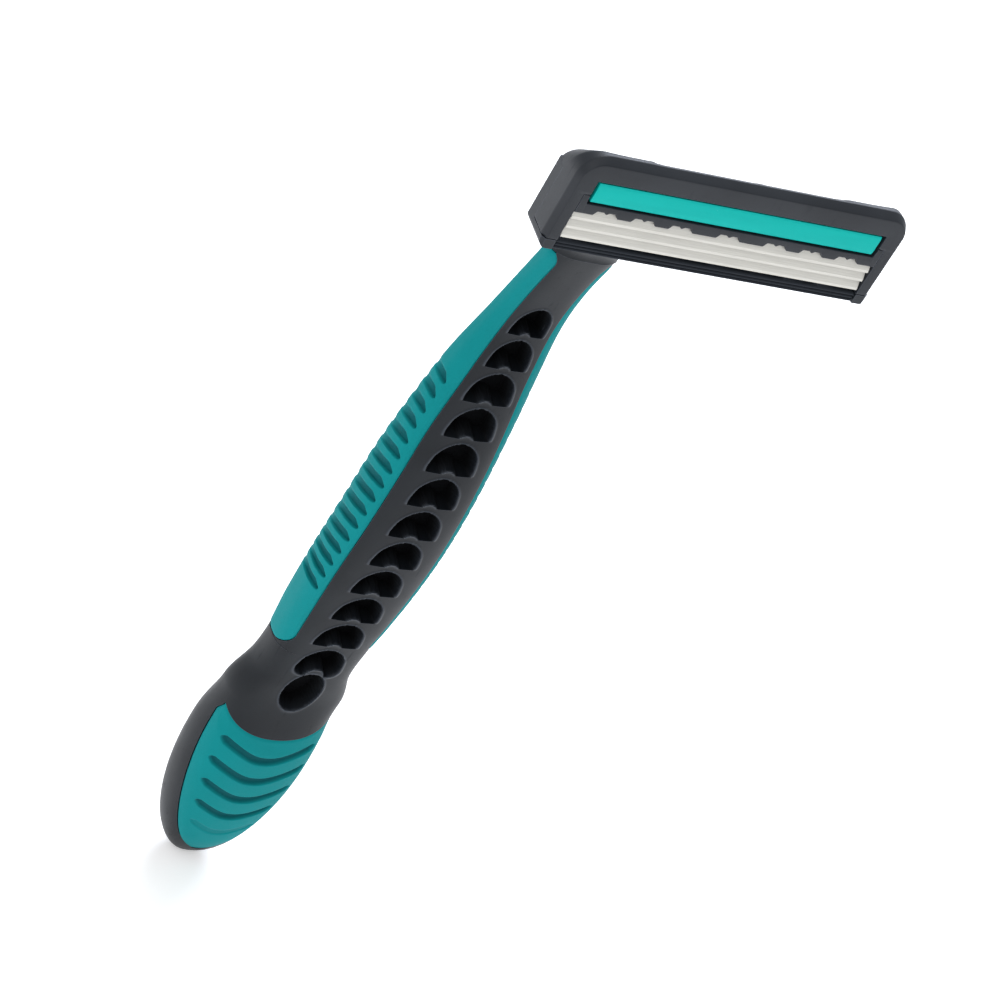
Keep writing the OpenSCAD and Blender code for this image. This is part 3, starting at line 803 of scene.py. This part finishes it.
@dataclass
class Handle:
    """The handle body's core, two side grips and end pad."""

    finishes: Finishes
    form: HandleForm = HandleForm()
    grip: GripForm = GripForm(HandleForm())
    pad: PadForm = PadForm(HandleForm())
    hollows: HollowForm = HollowForm(HandleForm())
    front_cols: int = 120
    grip_cols: int = 9
    back_cols: int = 36
    seam_deg: float = 0.7
    seam_mm: float = 0.03
    seat_gap: float = 0.05
    grip_crown: float = 0.22
    pad_crown: float = 0.25
    rolled_edge: float = 0.14
    crease_deg: float = 50.0

    def _dented(self, grid: Array) -> tuple[Array, Array]:
        """Sinks the hollows into a grid of the handle's front and gives their share at each point."""
        depth, share = self.hollows.profile(grid[..., 0], grid[..., 2])
        sunk = grid.copy()
        sunk[..., 1] += depth
        return sunk, share

    def core(self) -> None:
        """Core as one tube of rows round the handle.

        Columns run round from the front's middle of the -X side; across each soft piece the skin is sunk
        so that the piece lies in a seat, with a fine seam along both its edges.
        """
        bulb, shaft = self._bulb_rows(), self._shaft_rows()
        grid = np.concatenate([bulb[0], shaft[0]])
        share = np.concatenate([bulb[1], shaft[1]])
        piece = Surface().add(grid, Span.TUBE, share).make("handle_core_skin", 40.0)
        self.finishes.place(piece, Body.HANDLE, Slot.CHARCOAL, "handle_core")
        self.finishes.shade_darker(piece)

    def _shaft_rows(self) -> tuple[Array, Array]:
        """Rows of the shaft from the grips' lower ends to the collar, and their share of hollow."""
        z = steps((self.grip.bottom - 0.05, 0), (self.grip.bottom, 1), (112.0, 330), (self.grip.top, 12),
                  (self.form.collar_z, 1))[:, None]
        seated = ((z > self.grip.bottom - 0.01) & (z < self.grip.top + 0.01)).astype(float)
        t = np.linspace(0, 1, self.grip_cols)[None]
        across = np.linspace(-1, 1, self.front_cols + 1)[None]
        edge = self.grip.edge(z, 0 * z) - self.seam_deg
        front, share = self._dented(self.form.skin(z, edge * signed_power(across, 1.35)))
        seat = self.grip.point(z, t, -(self.grip.thickness + self.seat_gap) * seated)
        far = self.grip.edge(z, 0 * z + 1) + self.seam_deg
        low = self.grip.point(z, 0 * z + 1.0, 0.0)[..., 2]
        back = self.form.skin(low, mix(far, 360 - far, np.linspace(0, 1, self.back_cols + 1)[None]))
        rest = np.concatenate([seat, back, mirrored(seat)], axis=1)
        return np.concatenate([front, rest], 1), np.concatenate([share, np.zeros(rest.shape[:2])], 1)

    def _bulb_rows(self) -> tuple[Array, Array]:
        """Rows of the bulb from the floor to the grips, which follow the pad's outline across it."""
        pad, gap = self.pad, self.seam_mm
        side = np.linspace(-1, 1, self.front_cols + 1 + 2 * self.grip_cols)[None]
        foot = np.array([0.0, 0.02, 0.08, 0.18, 0.32, 0.5, 0.7, 0.88])[:, None]
        t = np.linspace(0, 1, 141)[:, None] ** 1.4
        rise = np.linspace(0, 1, 91)[1:, None]
        share_up = np.concatenate([0 * foot, [[0.0]], t, [[1.0]], 0 * rise + 1])
        edge = pad.side_angle(share_up)

        def heights(s: Array) -> Array:
            """Heights of all rows at one share of the way to the pad's side edge."""
            low, high = pad.height(0 * s, s), pad.height(0 * s + 1, s)
            seat = pad.height(t, s)
            return np.concatenate([low * foot, low - gap, seat, high + gap,
                                   mix(high + gap, self.grip.bottom - 0.1, rise)])

        height = heights(side)
        seated = np.zeros((len(height), 1))
        seated[len(foot) + 1:len(foot) + 1 + len(t)] = 1.0
        angle = side * edge
        round_back = np.linspace(0, 1, self.back_cols + 1)[None]
        rest = mix(edge + self.seam_deg, 360 - edge - self.seam_deg, round_back)
        skin = self.form.skin(height, angle, -(pad.thickness + self.seat_gap) * seated)
        front, share = self._dented(skin)
        front, share = np.where(seated[..., None] > 0, skin, front), share * (1 - seated)
        back = self.form.skin(np.broadcast_to(heights(np.array([[1.0]])), rest.shape), rest)
        grid = np.concatenate([front, back], 1)
        share = np.concatenate([share, np.zeros(back.shape[:2])], 1)
        return np.roll(grid, -self.grip_cols, axis=1), np.roll(share, -self.grip_cols, axis=1)

    def grips(self) -> None:
        """Both side grips: the +X one as a crowned shell with a ribbed outside, and its mirror image."""
        low, high = self.grip.bottom, self.grip.top
        z = steps((low + 0.04, 0), (low + 1.5, 16), (97.0, 620), (high - 0.04, 60))[:, None]
        t = np.linspace(0.0, 1.0, 81)[None]
        rim = np.minimum(np.minimum(t, 1 - t) * 14, np.minimum(z - low, high - z) * 1.5)
        rolled = self.rolled_edge * (1 - smooth(rim / 1.2)) ** 2
        crown = self.grip_crown * np.sin(np.pi * t) * self.grip.share(z) - rolled
        groove = self.grip.rib(z, t)
        tuck = mix(0.012, 0.988, t)
        outer = self.grip.point(z, tuck, crown - self.grip.rib_depth * groove)
        inner = self.grip.point(z, tuck, -self.grip.thickness + 0 * t)
        # The grooves' share, times 0.8, is painted as shade in the rib grooves.
        right = Surface().shell(outer, inner, groove * 0.8)
        left = Surface().shell(mirrored(outer), mirrored(inner), (groove * 0.8)[:, ::-1])
        piece = right.make("side_grip_right_skin", self.crease_deg)
        self.finishes.place(piece, Body.HANDLE, Slot.TEAL, "side_grip_right")
        piece = left.make("side_grip_left_skin", self.crease_deg)
        self.finishes.place(piece, Body.HANDLE, Slot.TEAL, "side_grip_left")

    def end_pad(self) -> None:
        """End pad as a shell whose outside is crowned, rolled over at its edges and grooved."""
        t = np.linspace(0.002, 0.998, 281)[:, None]
        side = np.linspace(-0.997, 0.997, 241)[None]
        reach = self.pad.side_angle(t)
        angle = side * reach
        z = self.pad.height(t, side)
        rim = np.minimum(np.minimum(t, 1 - t) * 26, (1 - np.abs(side)) * reach * 0.15)
        crown = self.pad_crown * smooth(rim / 3.5) - self.rolled_edge * (1 - smooth(rim / 0.7)) ** 2
        groove = self.pad.groove(z, angle)
        outer = self.form.skin(z, angle, crown - self.pad.groove_depth * groove)
        inner = self.form.skin(z, angle, -self.pad.thickness)
        # The grooves' share, times 0.85, is painted as shade in the pad grooves.
        piece = Surface().shell(outer, inner, groove * 0.85).make("end_pad_skin", self.crease_deg)
        self.finishes.place(piece, Body.HANDLE, Slot.TEAL, "end_pad")


@dataclass
class Yoke:
    """Gooseneck, hub, two arms and journals that carry the head."""

    finishes: Finishes
    form: HandleForm = HandleForm()
    neck_top_z: float = 133.0
    hub_top_z: float = 137.7
    hub_y: float = -9.6
    hub_r: float = 2.7
    bore_r: float = 1.3
    bore_bottom_z: float = 131.6
    neck_half_w: float = 5.0
    pivot: tuple = (-12.2, 141.6)
    arm_in: float = 5.0
    arm_out: float = 8.4
    arm_r: float = 1.95
    journal_r: float = 1.2
    journal_end: float = 10.6
    rim: float = 0.25
    section_power: float = 0.6
    arm_rounding: float = 1.2

    def _ring(self, z: Array, middle: Array, half_w: Array, half_d: Array, power: Array) -> Array:
        """Rows of superellipses: x = half_w sin^power and y = middle - half_d cos^power round a turn."""
        turn = np.linspace(0, 2 * math.pi, 97)[:-1][None]
        columns = (np.reshape(v + 0.0 * z, (-1, 1)) for v in (z, middle, half_w, half_d, power))
        z, middle, half_w, half_d, power = columns
        x = half_w * signed_power(np.sin(turn), power)
        y = middle - half_d * signed_power(np.cos(turn), power)
        return np.stack([x, y, z + 0 * turn], -1)

    def _neck(self) -> Array:
        """Neck, hub and bore as one tube: up from the collar, over the shoulder and rim and down."""
        front, back, half = self.form.sizes(np.array(self.form.collar_z))
        t = np.linspace(0, 1, 61)
        ease = smooth(t)
        low = mix(front, self.hub_y - self.hub_r, ease)
        high = mix(back, self.hub_y + self.hub_r, ease)
        neck = self._ring(mix(self.form.collar_z, self.neck_top_z, t), (low + high) / 2,
                          mix(half, self.neck_half_w, smooth(t * 1.4)), (high - low) / 2, 0.8 + 0 * t)
        arc = np.linspace(0, math.pi / 2, 13)[1:]
        narrowed = mix(self.hub_r, self.neck_half_w, np.cos(arc))
        shoulder = self._ring(self.neck_top_z + 1.3 * np.sin(arc), self.hub_y, narrowed, self.hub_r,
                              mix(0.8, 1.0, np.sin(arc)))
        turn = np.linspace(0, math.pi / 2, 6)
        top_r = self.hub_r - self.rim * (1 - np.cos(turn))
        top_z = self.hub_top_z - self.rim * (1 - np.sin(turn))
        r = np.concatenate([top_r, [self.bore_r + 0.15, self.bore_r, self.bore_r]])
        z = np.concatenate([top_z, [self.hub_top_z, self.hub_top_z - 0.15, self.bore_bottom_z]])
        return np.concatenate([neck, shoulder, self._ring(z, self.hub_y, r, r, 1.0)])

    def _arm(self) -> Array:
        """Right arm: a rounded-square section carried from inside the shoulder up past the pivot."""
        low = np.array([3.0, self.hub_y, self.neck_top_z + 0.5])
        high = np.array([(self.arm_in + self.arm_out) / 2, self.pivot[0] + 0.5, self.pivot[1] + 0.2])
        up = np.array([0.0, high[1] - low[1], high[2] - low[2]])
        up /= np.linalg.norm(up)
        across = np.cross(up, (1.0, 0.0, 0.0))
        s = np.linspace(0, 1, 41)[:, None, None]
        path = mix(low, high, s) + up * 0.9 * s
        path[..., 0] = mix(low[0], high[0], smooth(s[..., 0] * 1.15))
        turn = np.linspace(0, 2 * math.pi, 49)[:-1][None, :, None]
        half_x = mix(1.5, (self.arm_out - self.arm_in) / 2, s)
        half_y = mix(1.8, self.arm_r, s)
        wide = half_x * signed_power(np.cos(turn), self.section_power) * np.array([1.0, 0, 0])
        deep = half_y * signed_power(np.sin(turn), self.section_power) * across
        return soft_ends(path + (wide + deep), self.arm_rounding, 8)

    def _journal(self) -> Array:
        """Right journal: a round pin with a chamfered end along X."""
        x = np.array([self.arm_out - 0.6, self.journal_end - 0.2, self.journal_end])[:, None]
        r = np.array([self.journal_r, self.journal_r, self.journal_r - 0.2])[:, None]
        turn = np.linspace(0, 2 * math.pi, 49)[:-1][None]
        y, z = self.pivot[0] + r * np.cos(turn), self.pivot[1] + r * np.sin(turn)
        return np.stack([x + 0 * turn, y, z], -1)

    def build(self) -> None:
        """Makes the yoke as one piece of the handle body."""
        surface = Surface().add(self._neck(), Span.TUBE)
        for grid in (self._arm(), self._journal()):
            surface.add(grid, Span.TUBE).add(mirrored(grid), Span.TUBE)
        piece = surface.make("yoke_body", 40.0)
        self.finishes.place(piece, Body.HANDLE, Slot.CHARCOAL, "yoke")
        self.finishes.shade_darker(piece)


# ---- Head ----


@dataclass(frozen=True)
class HeadForm:
    """Driving sizes of the head, measured from the middle of its shaving face."""

    face_y: float = -19.0
    head_z: float = 142.0
    half: float = 21.2
    top: float = 6.25
    low: float = -6.25
    back: float = 4.9
    cap_low: float = -4.95
    slot_low: float = 0.45
    slot_high: float = 3.55
    slot_half: float = 18.6
    window_half: float = 19.4
    lip_high: float = -0.3
    lip_low: float = -0.86
    guard_top: float = -5.0
    guard_half: float = 19.35

    def placed(self, x: Array, depth: Array, height: Array) -> Array:
        """Points of the row frame from a place along the head, a depth behind its face and a height."""
        x, depth, height = np.broadcast_arrays(x, depth, height)
        return np.stack([x, depth + self.face_y, height + self.head_z], -1)


@dataclass
class Head:
    """The head body: cap, clamp bar, strip and guard, round the steel stack that the frame holds."""

    finishes: Finishes
    form: HeadForm = HeadForm()
    ridge_rise: float = 0.25
    rim_rise: float = 0.2
    rim_from: float = 12.0
    scallop_first: float = 6.1
    scallop_pitch: float = 4.75
    scallop_half: float = 1.1
    nick: float = 0.22
    face_slant_deg: float = 22.0
    strip_half: float = 18.2
    strip_span: tuple = (0.72, 3.3)
    strip_back: float = 0.74
    ridge_count: int = 3
    ridge_height: float = 0.4

    def _rail(self, side: float, top: float, radius: float, foot: float, step: float = 0.0) -> Array:
        """One corner of the cap's section, carried up a leg, round the corner and along the top.

        Args:
            side: Distance of the rail from the middle on the leg.
            top: Its height along the top.
            radius: Radius of its bend.
            foot: Height at which the leg starts.
            step: Distance by which the rail comes in above the clamp bar's ears.

        Returns:
            Stations x 2 places along the head and heights, from the leg's foot to the other leg's foot.
        """
        up = steps((0.0, 0), (0.785, 14), (0.80, 2), (1.0, 6))
        turn = np.linspace(0, math.pi / 2, 15)[1:-1]
        level = steps((0.0, 0), (0.34, 8), (0.40, 4), (1.0, 10))
        inward = step * smooth((up - 0.786) / 0.012)
        leg = np.stack([side - inward, mix(foot, top - radius, up)], -1)
        side = side - step
        hub_x, hub_z = side - radius, top - radius
        bend = np.stack([hub_x + radius * np.cos(turn), hub_z + radius * np.sin(turn)], -1)
        along = np.stack([mix(hub_x, 0.0, level), np.full(len(level), top)], -1)
        half = np.concatenate([leg, bend, along])
        return np.concatenate([half, half[-2::-1] * np.array([-1.0, 1.0])])

    def cap(self) -> None:
        """Cap as one frame: a closed section carried up one leg, along the top and down the other.

        Each corner of the section has its own rail and depth; depths change from leg to top round the
        bend, and the roof's back slope is a little taller toward the ends, as raised rims.
        """
        f = self.form
        ridge = f.top + self.ridge_rise
        corners = [
            # leg x, top z, bend radius, leg depth, top depth, step, corner rounding
            (f.window_half + 0.02, f.slot_high, 0.12, 0.0, 0.0, 0.8, 0.07),
            (f.half - 0.45, 5.8, 2.3, 0.0, 0.0, 0.0, 0.14),
            (f.half, ridge, 3.2, 0.8, 0.95, 0.0, 0.16),
            (f.half, ridge - 0.35, 3.1, 3.0, 1.6, 0.0, 0.25),
            (f.half - 0.02, 3.6, 2.0, f.back, f.back, 0.0, 0.25),
            (20.3, 2.75, 0.6, 5.45, f.back, 0.0, 0.12),
            (f.window_half + 0.1, 2.72, 0.12, 5.4, 2.4, 0.0, 0.1),
            (f.window_half + 0.02, f.slot_high - 0.06, 0.12, 0.85, 0.85, 0.8, 0.08),
        ]
        rails = []
        for side, top, radius, leg_depth, top_depth, step, _ in corners:
            flat = self._rail(side, top, radius, f.cap_low, step)
            count = len(flat)
            u = np.minimum(np.arange(count), count - 1 - np.arange(count))
            depth = mix(leg_depth, top_depth, smooth((u - 18.0) / 22.0))
            rails.append(f.placed(flat[:, 0], depth, flat[:, 1]))
        grid = np.stack(rails, 1)
        rim = self.rim_rise * smooth((np.abs(grid[:, :, 0]) - self.rim_from) / 0.35)
        rim = rim * (grid[:, :, 2] > f.head_z + 2.0)
        grid[:, 3:5, 2] += rim[:, 3:5]
        grid = rounded(grid, [c[-1] for c in corners], 5)
        grid = soft_ends(grid, 0.12)
        piece = Surface().add(grid[:, ::-1], Span.TUBE).make("cap_shell", 28.0)
        self.finishes.place(piece, Body.HEAD, Slot.CHARCOAL, "cap")

    def _lip(self, x: Array) -> Array:
        """Height of the clamp bar's lower edge: teeth with scallops between them, each nicked."""
        f = self.form
        first, pitch, half = self.scallop_first, self.scallop_pitch, self.scallop_half
        number = np.clip(np.round((np.abs(x) - first) / pitch), 0, 2)
        place = np.where(np.abs(x) < first / 2, 0.0, first + pitch * number)
        away = np.abs(np.abs(x) - place)
        scallop = smooth((half + 0.5 - away) / 0.5)
        return mix(f.lip_low, f.lip_high, scallop) - self.nick * smooth((0.42 - away) / 0.42)

    def clamp_bar(self) -> None:
        """Clamp bar: a closed section carried along X, whose lower edge follows the scallops."""
        f = self.form
        x = np.linspace(-f.window_half + 0.02, f.window_half - 0.02, 641)
        lip = self._lip(x)
        slant = math.tan(math.radians(self.face_slant_deg))
        ear = smooth((np.abs(x) - f.slot_half + 0.02) / 0.04)
        top = mix(f.slot_low, 1.6, ear)
        touch = 0.04 + (lip + 1.85) * slant
        behind = 0.08 + (3.3 + 1.85) * slant
        corners = [(0.0 * x, top), (0.0 * x, lip), (touch, lip - 0.04), (behind + 0 * x, 3.3 + 0 * x),
                   (0.8 + 0 * x, 3.3 + 0 * x), (0.8 + 0 * x, top)]
        grid = np.stack([f.placed(x, depth, height) for depth, height in corners], 1)
        grid = rounded(grid, [0.08, 0.09, 0.05, 0.05, 0.05, 0.05], 4)
        piece = Surface().add(grid, Span.TUBE).make("clamp_bar_shell", 35.0)
        self.finishes.place(piece, Body.HEAD, Slot.CHARCOAL, "clamp_bar")

    def strip(self) -> None:
        """Lubricating strip: a low crowned section carried along X with rounded ends."""
        f = self.form
        x = np.linspace(-self.strip_half, self.strip_half, 161)
        low, high = self.strip_span
        height = np.linspace(high, low, 15)
        crown = 0.16 - 0.1 * (1 - ((height - 2.01) / 1.29) ** 2) ** 0.5
        front = np.stack([f.placed(x, c, h) for c, h in zip(crown, height)], 1)
        back = np.stack([f.placed(x, self.strip_back, low), f.placed(x, self.strip_back, high)], 1)
        grid = np.concatenate([front, back], 1)
        piece = Surface().add(soft_ends(grid, 0.1), Span.TUBE).make("lubricating_strip_gel", 35.0)
        self.finishes.place(piece, Body.HEAD, Slot.STRIP, "lubricating_strip")

    def guard(self) -> None:
        """Guard strip: a section with three rounded ridges carried along X."""
        f = self.form
        x = np.linspace(-f.guard_half, f.guard_half, 121)
        height = np.linspace(f.low + 0.02, f.guard_top - 0.02, 37)
        phase = (height - f.low) / (f.guard_top - f.low) * self.ridge_count
        depth = 0.1 + self.ridge_height * (1 - np.abs(np.sin(np.pi * phase)) ** 0.6)
        front = np.stack([f.placed(x, d, h) for d, h in zip(depth, height)], 1)
        back = np.stack([f.placed(x, 1.03, f.guard_top - 0.02), f.placed(x, 1.03, f.low + 0.02)], 1)
        grid = np.concatenate([front, back], 1)[:, ::-1]
        piece = Surface().add(soft_ends(grid, 0.08), Span.TUBE).make("guard_strip_ribs", 35.0)
        self.finishes.place(piece, Body.HEAD, Slot.GUARD, "guard_strip")


# ---- Nodes that stay, and the stage ----


@dataclass
class Carried:
    """Frame nodes whose shape is already right, which only get their finish."""

    finishes: Finishes
    blades: tuple = ("blade_upper", "blade_middle", "blade_lower")
    spacers: tuple = ("spacer_upper", "spacer_lower")

    def _slots(self) -> dict[str, Slot]:
        """Slot of each carried node."""
        slots = {node: Slot.BLADE for node in self.blades}
        slots.update({node: Slot.SPACER for node in self.spacers})
        slots["blade_seat"] = Slot.CHARCOAL
        slots["plunger"] = Slot.PLUNGER
        slots["plunger_spring"] = Slot.SPRING
        return slots

    def dress(self) -> None:
        """Gives each carried node its finish."""
        for node, slot in self._slots().items():
            self.finishes.dress(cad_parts[node], slot)
            LOG.info("dressed %s", node)


@dataclass
class Studio:
    """Pale floor, soft light and the camera."""

    floor_half: float = 6.0
    floor_glow: float = 0.35
    floor_tones: tuple = ((0.93, 0.93, 0.93, 1), (0.96, 0.96, 0.96, 1))
    sky_tint: tuple = (0.97, 0.98, 1.0, 1.0)
    sky_strength: float = 0.6
    aim: tuple = (0.0, 0.0, 0.1)
    camera_place: tuple = (-0.2019, -0.2786, 0.3331)
    camera_right: tuple = (0.8662, -0.2660, 0.4230)
    camera_up: tuple = (-0.1190, 0.7123, 0.6917)
    lens: float = 126.0

    def floor(self) -> None:
        """Wide pale floor that is nearly white under the studio light, with a faint mottle."""
        side = np.linspace(-self.floor_half, self.floor_half, 25) / METRE
        x, y = np.meshgrid(side, side)
        piece = Surface().add(np.stack([x, y, 0 * x - 0.02], -1)).make("floor")
        dye = Dye("pale_floor")
        mottle = dye.noise(60.0, 3.0)
        dye.set(Base_Color=dye.blend(mottle, *self.floor_tones), Roughness=0.9)
        dye.set(Specular_IOR_Level=0.0, Emission_Color=(1.0, 1.0, 1.0, 1.0))
        dye.set(Emission_Strength=self.floor_glow)
        piece.data.materials.append(dye.material)

    def _softbox(self, name: str, place: tuple, size: float, power: float,
                 tint: tuple = (1.0, 1.0, 1.0)) -> None:
        """One square area light that faces the razor.

        Args:
            name: The light's name.
            place: Where it hangs.
            size: Its side.
            power: Its power in watts.
            tint: Its colour.
        """
        data = bpy.data.lights.new(name, "AREA")
        data.size, data.energy, data.color = size, power, tint
        lamp = bpy.data.objects.new(name, data)
        bpy.context.scene.collection.objects.link(lamp)
        back = np.array(place, float) - np.array(self.aim, float)
        back /= np.linalg.norm(back)
        right = np.cross((0.0, 0.0, 1.0) if abs(back[2]) < 0.99 else (0.0, 1.0, 0.0), back)
        right /= np.linalg.norm(right)
        turn = np.stack([right, np.cross(back, right), back], 1)
        lamp.matrix_world = Matrix.Translation(place) @ Matrix(turn.tolist()).to_4x4()

    def light(self) -> None:
        """White surroundings, a soft key from above, a fill from the front and a cool rim light."""
        world = bpy.data.worlds.new("studio")
        world.use_nodes = True
        sky = world.node_tree.nodes["Background"]
        sky.inputs["Color"].default_value = self.sky_tint
        sky.inputs["Strength"].default_value = self.sky_strength
        bpy.context.scene.world = world
        self._softbox("key", (0.15, 0.35, 0.9), 0.6, 4.0)
        self._softbox("fill", (-0.6, -0.4, 0.7), 0.8, 2.5)
        self._softbox("rim", (0.39, 0.52, 0.57), 0.5, 5.0, (0.8, 0.86, 1.0))
        bpy.context.scene.view_settings.view_transform = "Standard"

    def camera(self) -> None:
        """Camera with its own right and up directions, so that the razor lies slanted in view."""
        data = bpy.data.cameras.new("camera")
        data.lens, data.sensor_width = self.lens, 36.0
        data.clip_start, data.clip_end = 0.01, 20.0
        camera = bpy.data.objects.new("camera", data)
        right, up = np.array(self.camera_right), np.array(self.camera_up)
        right /= np.linalg.norm(right)
        up -= right * (up @ right)
        up /= np.linalg.norm(up)
        turn = np.stack([right, up, np.cross(right, up)], 1)
        camera.matrix_world = Matrix.Translation(self.camera_place) @ Matrix(turn.tolist()).to_4x4()
        bpy.context.scene.collection.objects.link(camera)
        bpy.context.scene.camera = camera


def main() -> None:
    """Builds every piece in order, then the stage."""
    logging.basicConfig(level=logging.INFO, format="%(message)s")
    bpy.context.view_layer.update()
    finishes = Finishes()
    handle = Handle(finishes)
    handle.core()
    handle.grips()
    handle.end_pad()
    Yoke(finishes).build()
    head = Head(finishes)
    head.cap()
    head.clamp_bar()
    head.strip()
    head.guard()
    Carried(finishes).dress()
    studio = Studio()
    studio.floor()
    studio.light()
    studio.camera()


if __name__ == "__main__":
    main()
